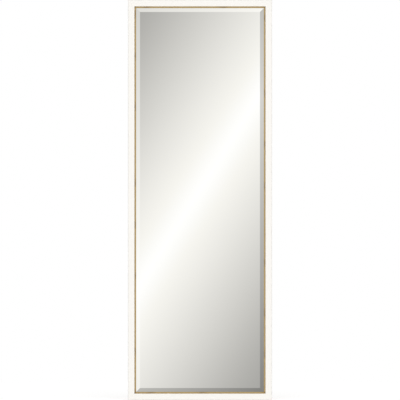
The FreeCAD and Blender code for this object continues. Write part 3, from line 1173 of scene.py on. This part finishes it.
@dataclass
class Hanger:
    """Folded strap, its hanging ring and its two screws.

    They are modelled with X along the strap towards the ring, Z away from the wood and the ring's axis over
    the origin.
    """

    side: Side
    gauge: float = 0.8 * MM
    width: float = 8.0 * MM
    tail: float = 35.0 * MM
    tail_corner: Rounding = (3.0 * MM, 6)
    loop_inner: float = 1.1 * MM
    loop_steps: int = 27
    neck_steps: int = 5
    layer_gap: float = 0.03 * MM
    edge_ease: Rounding = (0.15 * MM, 2)
    edge_angle: float = 50.0
    wire: float = 1.0 * MM
    wire_sides: int = 16
    bar_half: float = 4.5 * MM
    bend: float = 2.0 * MM
    bend_steps: int = 7
    bow_steps: int = 28
    reach: float = 12.0 * MM
    screw_places: tuple[float, ...] = (17.5 * MM, 29.0 * MM)
    head_radius: float = 2.7 * MM
    head_sides: int = 32
    head_rim: float = 0.6 * MM
    head_height: float = 1.7 * MM
    dome_steps: tuple[float, ...] = (0.25, 0.5, 0.72, 0.88)
    crown: float = 0.55
    recess_half: float = 0.32 * MM
    recess_reach: float = 1.35 * MM
    recess_depth: float = 1.0 * MM
    recess_taper: float = 0.6
    shank_radius: float = 1.25 * MM
    shank_length: float = 13.0 * MM
    shank_tip: float = 3.5 * MM
    tip_radius: float = 0.15 * MM

    @property
    def pivot(self) -> float:
        """Height of the ring's bar above the wood."""
        return self.gauge + self.loop_inner

    def matrix(self) -> Matrix:
        """Turn and place of the hanger, from its joint.

        Returns:
            Matrix from the hanger's frame to the mirror's.
        """
        name = f"ring_{self.side.label}_flip"
        joint = next(item for item in frame["joints"] if item["name"] == name)
        hinge = -Vector(joint["axis"])
        away = Vector((0.0, 1.0, 0.0))
        foot = Vector(joint["pos_m"]) - away * self.pivot
        turned = Matrix((hinge.cross(away), hinge, away)).transposed().to_4x4()
        return Matrix.Translation(foot) @ turned

    def build(self, steels: dict[Steel, Material]) -> None:
        """Builds and dresses the hanger.

        Args:
            steels: Finish of each steel.
        """
        label = self.side.label
        for mesh, name, steel, node, body in (
            (self.strap(), "folded_strap", Steel.STRAP, "hanger_strap", BODY),
            (self.ring(), "hanging_ring", Steel.RING, "hanger_ring", f"ring_{label}"),
            (self.screws(), "pan_screws", Steel.SCREW, "hanger_screws", BODY),
        ):
            bmesh.ops.transform(mesh, matrix=self.matrix(), verts=mesh.verts[:])
            set_piece(mesh, f"{name}_{label}", steels[steel], steel.slot, f"{node}_{label}", body)

    def draw(self, mesh: BMesh, loop: Sequence[BMEdge], along: Vector) -> list[BMEdge]:
        """Draws a strip or wire out in a straight line.

        Args:
            mesh: The mesh.
            loop: Edges of its open end.
            along: From that end to the new one.

        Returns:
            Edges of the new end.
        """
        grown = bmesh.ops.extrude_edge_only(mesh, edges=list(loop))
        bmesh.ops.translate(mesh, verts=only(BMVert, grown["geom"]), vec=along)
        return only(BMEdge, grown["geom"])

    def turn(
        self, mesh: BMesh, loop: Sequence[BMEdge], centre: Spot, axis: Spot, angle: float, steps: int
    ) -> list[BMEdge]:
        """Draws a strip or wire out round an axis.

        Args:
            mesh: The mesh.
            loop: Edges of its open end.
            centre: A point on the axis.
            axis: The axis.
            angle: How far it turns.
            steps: In how many steps.

        Returns:
            Edges of the new end.
        """
        rim = {vert for edge in loop for vert in edge.verts}
        turned = bmesh.ops.spin(mesh, geom=[*loop, *rim], cent=centre, axis=axis, angle=angle, steps=steps)
        return only(BMEdge, turned["geom_last"])

    def strap(self) -> BMesh:
        """Sheet folded round the ring's bar: out along the wood, round the bar and back over itself.

        Returns:
            The closed mesh.
        """
        half = self.width / 2
        outer = self.loop_inner + self.gauge
        neck = self.pivot - 2 * self.gauge
        hinge = (0.0, 1.0, 0.0)
        mesh = bmesh.new()
        spots = [(-half, 0.0), (half, 0.0), (half, self.gauge), (-half, self.gauge)]
        end = mesh.faces.new([mesh.verts.new((-self.tail, across, up)) for across, up in spots])
        loop = self.draw(mesh, end.edges[:], Vector((self.tail, 0.0, 0.0)))
        loop = self.turn(mesh, loop, (0.0, 0.0, self.pivot), hinge, -3 * QUARTER, self.loop_steps)
        loop = self.turn(mesh, loop, (-outer - neck, 0.0, self.pivot), hinge, QUARTER, self.neck_steps)
        upper = {vert for edge in loop for vert in edge.verts}
        upper_middle = 1.5 * self.gauge
        underside = [vert for vert in upper if vert.co.z < upper_middle]
        bmesh.ops.translate(mesh, verts=underside, vec=(0.0, 0.0, self.layer_gap))
        loop = self.draw(mesh, loop, Vector((outer + neck - self.tail, 0.0, 0.0)))
        bmesh.ops.contextual_create(mesh, geom=loop)
        bmesh.ops.recalc_face_normals(mesh, faces=mesh.faces[:])
        corners = [
            edge
            for edge in mesh.edges
            if all(vert.co.x < SAME_PLACE - self.tail for vert in edge.verts)
            and edge.calc_length() < half
        ]
        soften(mesh, corners, *self.tail_corner)
        soften(mesh, sharp_edges(mesh, self.edge_angle), *self.edge_ease)
        return mesh

    def ring(self) -> BMesh:
        """Bent wire: a bar through the strap, two short sides and a half round.

        Returns:
            The closed mesh.
        """
        mesh = bmesh.new()
        start = bmesh.ops.create_circle(mesh, segments=self.wire_sides, radius=self.wire)["verts"]
        across = Matrix.Translation((0.0, 0.0, self.pivot)) @ Matrix.Rotation(QUARTER, 4, "X")
        bmesh.ops.transform(mesh, matrix=across, verts=start)
        away = (0.0, 0.0, 1.0)
        half_bar = Vector((0.0, self.bar_half, 0.0))
        side = self.reach - self.bar_half - self.bend
        straight = Vector((side - self.bend, 0.0, 0.0))
        loop = self.draw(mesh, mesh.edges[:], half_bar)
        loop = self.turn(mesh, loop, (self.bend, self.bar_half, self.pivot), away, -QUARTER, self.bend_steps)
        loop = self.draw(mesh, loop, straight)
        loop = self.turn(mesh, loop, (side, 0.0, self.pivot), away, -2 * QUARTER, self.bow_steps)
        loop = self.draw(mesh, loop, -straight)
        loop = self.turn(mesh, loop, (self.bend, -self.bar_half, self.pivot), away, -QUARTER, self.bend_steps)
        self.draw(mesh, loop, half_bar)
        bmesh.ops.remove_doubles(mesh, verts=mesh.verts[:], dist=SAME_POINT)
        bmesh.ops.recalc_face_normals(mesh, faces=mesh.faces[:])
        return mesh

    def screws(self) -> BMesh:
        """Two pan head screws, driven through the strap.

        Returns:
            Both as one mesh.
        """
        both = bmesh.new()
        for place in self.screw_places:
            one = self.one_screw()
            bmesh.ops.translate(one, verts=one.verts[:], vec=(-place, 0.0, 2 * self.gauge))
            add_to(both, one)
        return both

    def one_screw(self) -> BMesh:
        """Pan head screw with a cross recess, its head's underside at the origin.

        Returns:
            The closed mesh.
        """
        mesh = bmesh.new()
        bmesh.ops.create_circle(mesh, cap_ends=True, segments=self.head_sides, radius=self.head_radius)
        top = self.step(mesh, mesh.faces[:][0], self.head_radius, self.head_rim)
        rise = self.head_height - self.head_rim
        for share in self.dome_steps:
            narrowed = self.crown + (1.0 - self.crown) * math.sqrt(1.0 - share * share)
            top = self.step(mesh, top, self.head_radius * narrowed, self.head_rim + rise * share)
        top = self.step(mesh, top, self.head_radius * self.crown, self.head_height)
        self.cut_recess(mesh, top)
        rim = [edge for edge in mesh.edges if edge.is_boundary]
        under = bmesh.ops.contextual_create(mesh, geom=rim)["faces"][0]
        under = self.step(mesh, under, self.shank_radius, 0.0)
        under = self.step(mesh, under, self.shank_radius, self.shank_tip - self.shank_length)
        self.step(mesh, under, self.tip_radius, -self.shank_length)
        bmesh.ops.recalc_face_normals(mesh, faces=mesh.faces[:])
        return mesh

    def step(self, mesh: BMesh, face: BMFace, radius: float, height: float) -> BMFace:
        """Draws a round face on to another radius and height.

        Args:
            mesh: The mesh.
            face: The face.
            radius: Its new radius.
            height: Its new height.

        Returns:
            The new face.
        """
        grown = bmesh.ops.extrude_discrete_faces(mesh, faces=[face])["faces"][0]
        share = radius / max(vert.co.xy.length for vert in grown.verts)
        level = grown.verts[0].co.z
        bmesh.ops.scale(mesh, verts=grown.verts[:], vec=(share, share, 1.0))
        bmesh.ops.translate(mesh, verts=grown.verts[:], vec=(0.0, 0.0, height - level))
        return grown

    def cut_recess(self, mesh: BMesh, top: BMFace) -> None:
        """Sinks a cross into the head's flat top.

        Args:
            mesh: The screw's mesh.
            top: The flat top.
        """
        level = top.verts[0].co.z

        def flat_faces() -> list[BMFace]:
            """Faces of the flat top, as it is divided so far."""
            near = SAME_POINT
            return [face for face in mesh.faces if all(abs(vert.co.z - level) < near for vert in face.verts)]

        for axis in (Vector((1.0, 0.0, 0.0)), Vector((0.0, 1.0, 0.0))):
            for offset in (-self.recess_reach, -self.recess_half, self.recess_half, self.recess_reach):
                flat = flat_faces()
                parts = {item for face in flat for item in (*face.verts, *face.edges)}
                bmesh.ops.bisect_plane(mesh, geom=[*flat, *parts], plane_co=axis * offset, plane_no=axis)
        cross = []
        for face in flat_faces():
            middle = face.calc_center_median()
            short, long = sorted((abs(middle.x), abs(middle.y)))
            if short < self.recess_half and long < self.recess_reach:
                cross.append(face)
        sunk = bmesh.ops.extrude_face_region(mesh, geom=cross)
        floor = only(BMVert, sunk["geom"])
        bmesh.ops.delete(mesh, geom=[face for face in cross if face.is_valid], context="FACES_ONLY")
        bmesh.ops.scale(mesh, verts=floor, vec=(self.recess_taper, self.recess_taper, 1.0))
        bmesh.ops.translate(mesh, verts=floor, vec=(0.0, 0.0, -self.recess_depth))


@dataclass
class Bumpers:
    """Soft discs that keep the frame off the wall."""

    taper: float = 0.94
    rim_round: Rounding = (1.2 * MM, 5)
    sides: int = 40

    def build(self) -> None:
        """Builds and dresses the four discs."""
        rubber = BumperRubber().make()
        for corner in ("top_left", "top_right", "bottom_left", "bottom_right"):
            low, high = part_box(f"bumper_{corner}")
            radius = (high.x - low.x) / 2
            mesh = bmesh.new()
            bmesh.ops.create_cone(
                mesh,
                cap_ends=True,
                segments=self.sides,
                radius1=radius,
                radius2=radius * self.taper,
                depth=high.y - low.y,
            )
            rim = [edge for edge in mesh.edges if all(vert.co.z > 0 for vert in edge.verts)]
            soften(mesh, rim, *self.rim_round)
            place = Matrix.Translation((low + high) / 2) @ Matrix.Rotation(-QUARTER, 4, "X")
            bmesh.ops.transform(mesh, matrix=place, verts=mesh.verts[:])
            set_piece(mesh, f"wall_disc_{corner}", rubber, "bumper_rubber", f"bumper_{corner}")


@dataclass(frozen=True)
class BevelGlow:
    """Soft patch of the studio that one bevel of the glass looks at in the photograph's view.

    It is brightest across one line and falls evenly to both sides of it. Places are parts of a direction.
    """

    side: Side
    aim: float
    peak: float
    fall: float
    line: float
    half_length: float
    half_width: float = 0.014
    soft: float = 0.028

    def over(self, sheet: NodeSheet, x: Socket, z: Socket, tone: Socket) -> Socket:
        """Lays the patch over a tone.

        Args:
            sheet: The world's nodes.
            x: Sideways part of the direction.
            z: Upward part of the direction.
            tone: Brightness without the patch.

        Returns:
            Brightness with it.
        """
        run, aside = (z, x) if self.side.axis is Axis.UPRIGHT else (x, z)
        patch = self.peak - abs(run - self.line) * self.fall
        within = sheet.rise(abs(run), self.half_length + self.soft, self.half_length)
        beside = sheet.rise(abs(aside - self.aim), self.half_width + self.soft, self.half_width)
        return tone + (patch - tone) * (within * beside)


@dataclass(frozen=True)
class Lamp:
    """Large soft lamp, turned to the mirror's middle, with its power in watts."""

    name: str
    place: Spot
    power: float


@dataclass
class Studio:
    """Camera, lamps, floor and the white room that the glass reflects."""

    layout: Layout
    camera_distance: float = 12.0
    sight_depth: float = 10.6 * MM
    sensor: float = 36.0
    picture_height: float = 1.270
    far_end: float = 100.0
    floor_radius: float = 2.6
    floor_sides: int = 96
    floor_middle: float = -1.4
    floor_gap: float = 0.2 * MM
    warm_white: Colour = (1.0, 0.9805, 0.9350)
    core_white: Colour = (1.0, 0.990, 0.974)
    core_tones: Span = (0.965, 1.065)
    room_level: float = 0.70
    sheen_peak: float = 1.080
    sheen_fall: float = 17.0
    sheen_half_band: float = 0.0415
    sheen_soft: float = 0.015
    sheen_line: Span = (0.8456, -0.5340)
    sheen_offset: float = 0.00142
    rear_tones: Span = (0.16, 1.0)
    rear_heights: Span = (-0.45, 0.85)
    rear_turn: Span = (0.0, 0.3)
    glows: tuple[BevelGlow, ...] = (
        BevelGlow(Side.BOTTOM, aim=-0.2764, peak=0.797, fall=8.37, line=-0.050, half_length=0.020),
        BevelGlow(Side.LEFT, aim=-0.2438, peak=1.065, fall=4.89, line=-0.0241, half_length=0.056),
        BevelGlow(Side.TOP, aim=0.2764, peak=1.212, fall=6.40, line=0.050, half_length=0.020),
        BevelGlow(Side.RIGHT, aim=0.2438, peak=0.697, fall=5.70, line=0.0275, half_length=0.056),
    )
    lamp_size: float = 4.0
    lamps: tuple[Lamp, ...] = (
        Lamp("key_lamp", (-3.0, -8.0, 0.6), 180.0),
        Lamp("fill_lamp", (3.6, -8.0, 0.2), 165.0),
        Lamp("back_lamp", (3.2, 6.0, 3.4), 260.0),
    )

    def build(self) -> None:
        """Builds the whole studio."""
        bpy.context.scene.view_settings.view_transform = "Standard"
        self.add_camera()
        self.add_world()
        self.add_floor()
        self.add_lamps()

    def add_camera(self) -> None:
        """Camera straight in front, far away for the photograph's flat view, framed on the sight opening."""
        data = bpy.data.cameras.new("camera")
        camera = put_in_scene("camera", data)
        sight = self.layout.back - self.layout.moulding_depth + self.sight_depth
        camera.location = (0.0, sight - self.camera_distance, 0.0)
        camera.rotation_euler = (QUARTER, 0.0, 0.0)
        data.sensor_width = self.sensor
        data.lens = self.sensor * self.camera_distance / self.picture_height
        data.clip_end = self.far_end
        bpy.context.scene.camera = camera
        LOG.info("camera: lens %.1f mm", data.lens)

    def add_world(self) -> None:
        """White room, in whose reflection soft bands of light run from lower left to upper right."""
        world = bpy.data.worlds.new("studio")
        bpy.context.scene.world = world
        world.use_nodes = True
        sheet = NodeSheet(world.node_tree)
        path = sheet.node("ShaderNodeLightPath", output="Is Camera Ray")
        mirrored = sheet.maths("MAXIMUM", path.sibling("Is Glossy Ray"), path.sibling("Is Transmission Ray"))
        x, y, z = sheet.split(sheet.node("ShaderNodeTexCoord", output="Generated"))
        band = sheet.weigh(self.sheen_line, x, z) + self.sheen_offset
        zigzag = sheet.maths("PINGPONG", band, self.sheen_half_band)
        away = sheet.maths("SMOOTH_MIN", zigzag, self.sheen_half_band, self.sheen_soft)
        tone = self.sheen_peak - away * self.sheen_fall
        for glow in self.glows:
            tone = glow.over(sheet, x, z, tone)
        low, high = self.rear_tones
        behind = low + sheet.rise(z, *self.rear_heights) * (high - low)
        tone = tone + (behind - tone) * sheet.rise(y, *self.rear_turn)
        tint = sheet.mix(sheet.rise(tone, *self.core_tones), self.warm_white, self.core_white)
        room = sheet.background(PURE_WHITE, self.room_level)
        seen = sheet.either(path, room, sheet.background(PURE_WHITE, 1.0))
        lit = sheet.either(mirrored, seen, sheet.background(tint, tone))
        sheet.node("ShaderNodeOutputWorld", inputs={"Surface": lit})

    def add_floor(self) -> None:
        """Pale floor under the mirror, which takes its shadow and throws no light back."""
        mesh = bmesh.new()
        bmesh.ops.create_circle(mesh, cap_ends=True, segments=self.floor_sides, radius=self.floor_radius)
        level = -self.layout.half_height - self.floor_gap
        bmesh.ops.translate(mesh, verts=mesh.verts[:], vec=(0.0, self.floor_middle, level))
        floor = mesh_object(mesh, "floor", StudioFloor().make())
        floor.visible_glossy = False
        floor.visible_diffuse = False
        floor.visible_shadow = False
        LOG.info("floor: part of the stage")

    def add_lamps(self) -> None:
        """Two large soft lamps in front and one behind, which the glass doesn't show."""
        for lamp in self.lamps:
            data = bpy.data.lights.new(lamp.name, "AREA")
            data.shape = "SQUARE"
            data.size = self.lamp_size
            data.energy = lamp.power
            made = put_in_scene(lamp.name, data)
            made.location = lamp.place
            made.rotation_mode = "QUATERNION"
            made.rotation_quaternion = (-Vector(lamp.place)).to_track_quat("-Z", "Y")
            made.visible_glossy = False


def write_sizes() -> None:
    """Brings the scene's placements up to date."""
    bpy.context.view_layer.update()


def main() -> None:
    """Builds the mirror from its frame inwards, then its back, then the studio."""
    logging.basicConfig(level=logging.INFO, format="%(name)s %(message)s")
    layout = Layout.from_frame()
    steels = {steel: PlatedSteel(steel).make() for steel in Steel}
    WhiteMoulding(layout).build()
    GiltFillet(layout).build()
    MirrorPlate().build()
    Backing(layout).build(steels[Steel.POINT])
    CornerNails(layout).build(steels[Steel.NAIL])
    for side in (Side.LEFT, Side.RIGHT, Side.TOP, Side.BOTTOM):
        Hanger(side).build(steels)
    Bumpers().build()
    Studio(layout).build()
    write_sizes()


if __name__ == "__main__":
    main()
